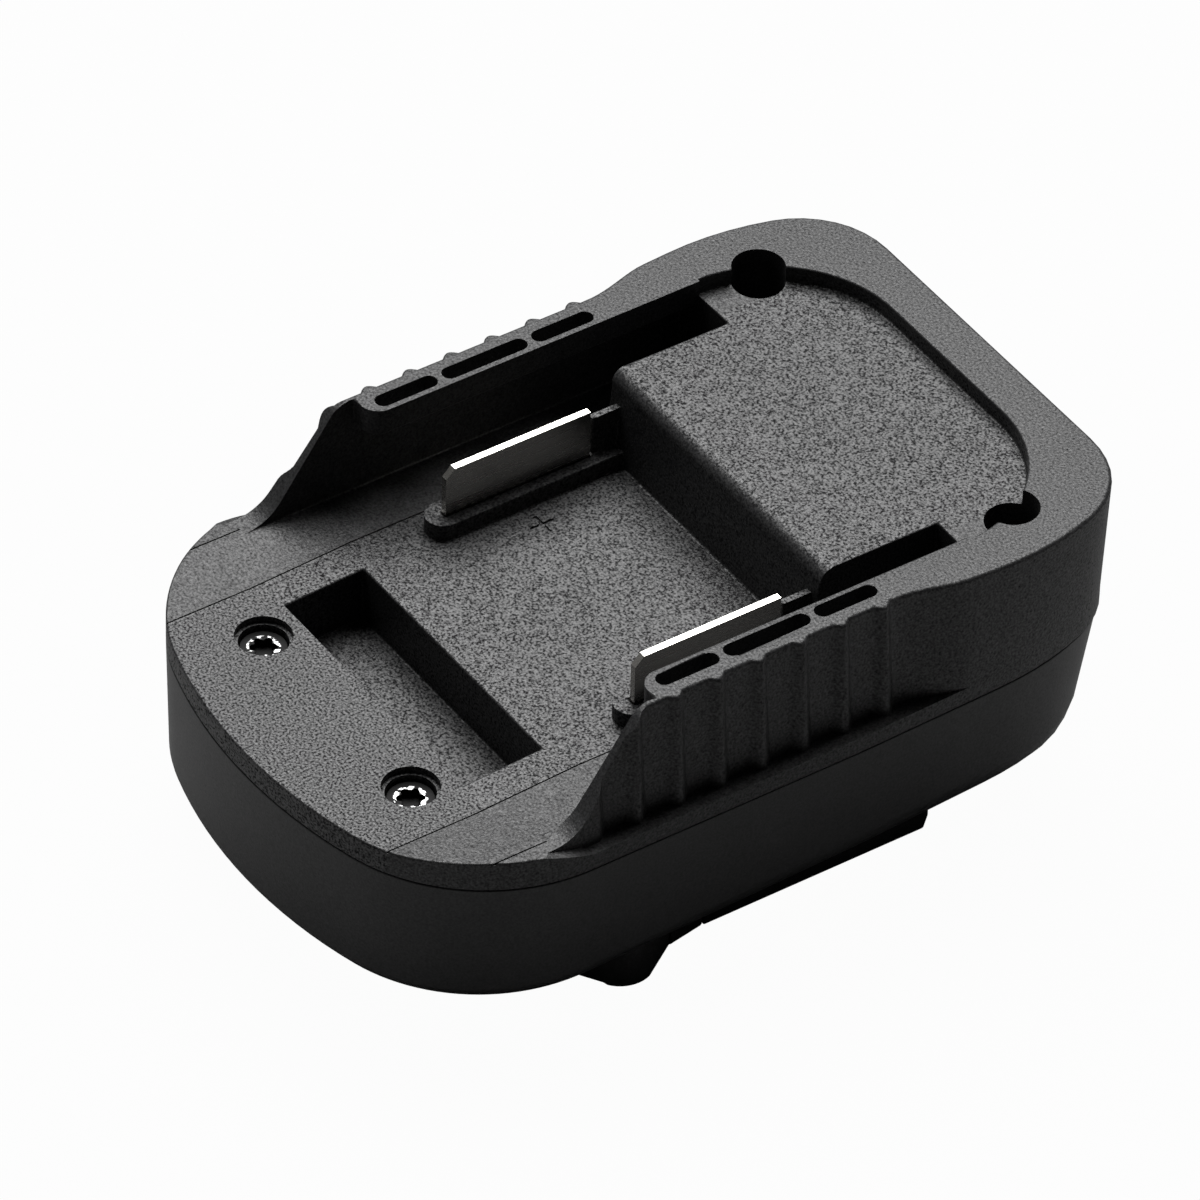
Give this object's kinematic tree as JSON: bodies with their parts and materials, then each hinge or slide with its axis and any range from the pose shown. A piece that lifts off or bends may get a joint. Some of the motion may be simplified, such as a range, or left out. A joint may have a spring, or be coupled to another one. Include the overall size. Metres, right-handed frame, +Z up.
{
  "type": "tool battery adapter",
  "caption": "Black moulded battery adapter: an open slide-on bay with contact blades on top, a railed tool foot with squeeze release tabs below.",
  "frame": {"origin": "middle of the case, on the plane that the tool foot stands on", "axes": "+Z up out of the battery bay, +Y the way the battery slides in, +X to the right seen from the nose"},
  "size_m": [0.0702, 0.1032, 0.0426],
  "materials": {
    "case_plastic": "fine-grained matte moulding",
    "contact_metal": "nickel-plated copper, satin",
    "black_steel": "black oxide",
    "zinc_steel": "zinc plated",
    "inner_plastic": "plain moulding",
    "clip_brass": "rolled spring brass",
    "board_laminate": "solder-masked laminate",
    "chip_plastic": "moulded package",
    "capacitor_sleeve": "shrunk sleeve",
    "red_lead": "insulation",
    "black_lead": "insulation",
    "spring_steel": "drawn spring wire"
  },
  "bodies": {
    "housing": {"upper_shell": "case_plastic", "lower_shell": "case_plastic", "positive_blade": "contact_metal", "negative_blade": "contact_metal", "front_screws": "black_steel", "rear_screws": "black_steel", "blade_retainer": "inner_plastic", "retainer_screws": "zinc_steel", "terminal_block": "inner_plastic", "block_screws": "zinc_steel", "positive_clip": "clip_brass", "negative_clip": "clip_brass", "circuit_board": "board_laminate", "board_screws": "zinc_steel", "power_transistors": "chip_plastic", "control_chip": "chip_plastic", "capacitor": "capacitor_sleeve", "shunt_resistor": "chip_plastic", "positive_lead": "red_lead", "negative_lead": "black_lead", "right_tab_spring": "spring_steel", "left_tab_spring": "spring_steel"},
    "right_tab": {"right_release_tab": "case_plastic", "right_tab_keeper": "inner_plastic", "right_keeper_screw": "zinc_steel"},
    "left_tab": {"left_release_tab": "case_plastic", "left_tab_keeper": "inner_plastic", "left_keeper_screw": "zinc_steel"}
  },
  "joints": [
    {"name": "right_tab_press", "type": "slide", "parent": "housing", "child": "right_tab", "axis": [-1, 0, 0], "range_m": [0, 0.003], "stiffness_N_per_m": 800, "springref_m": -0.004, "deforming": ["right_tab_spring"]},
    {"name": "left_tab_press", "type": "slide", "parent": "housing", "child": "left_tab", "axis": [1, 0, 0], "range_m": [0, 0.003], "stiffness_N_per_m": 800, "springref_m": -0.004, "deforming": ["left_tab_spring"]}
  ]
}
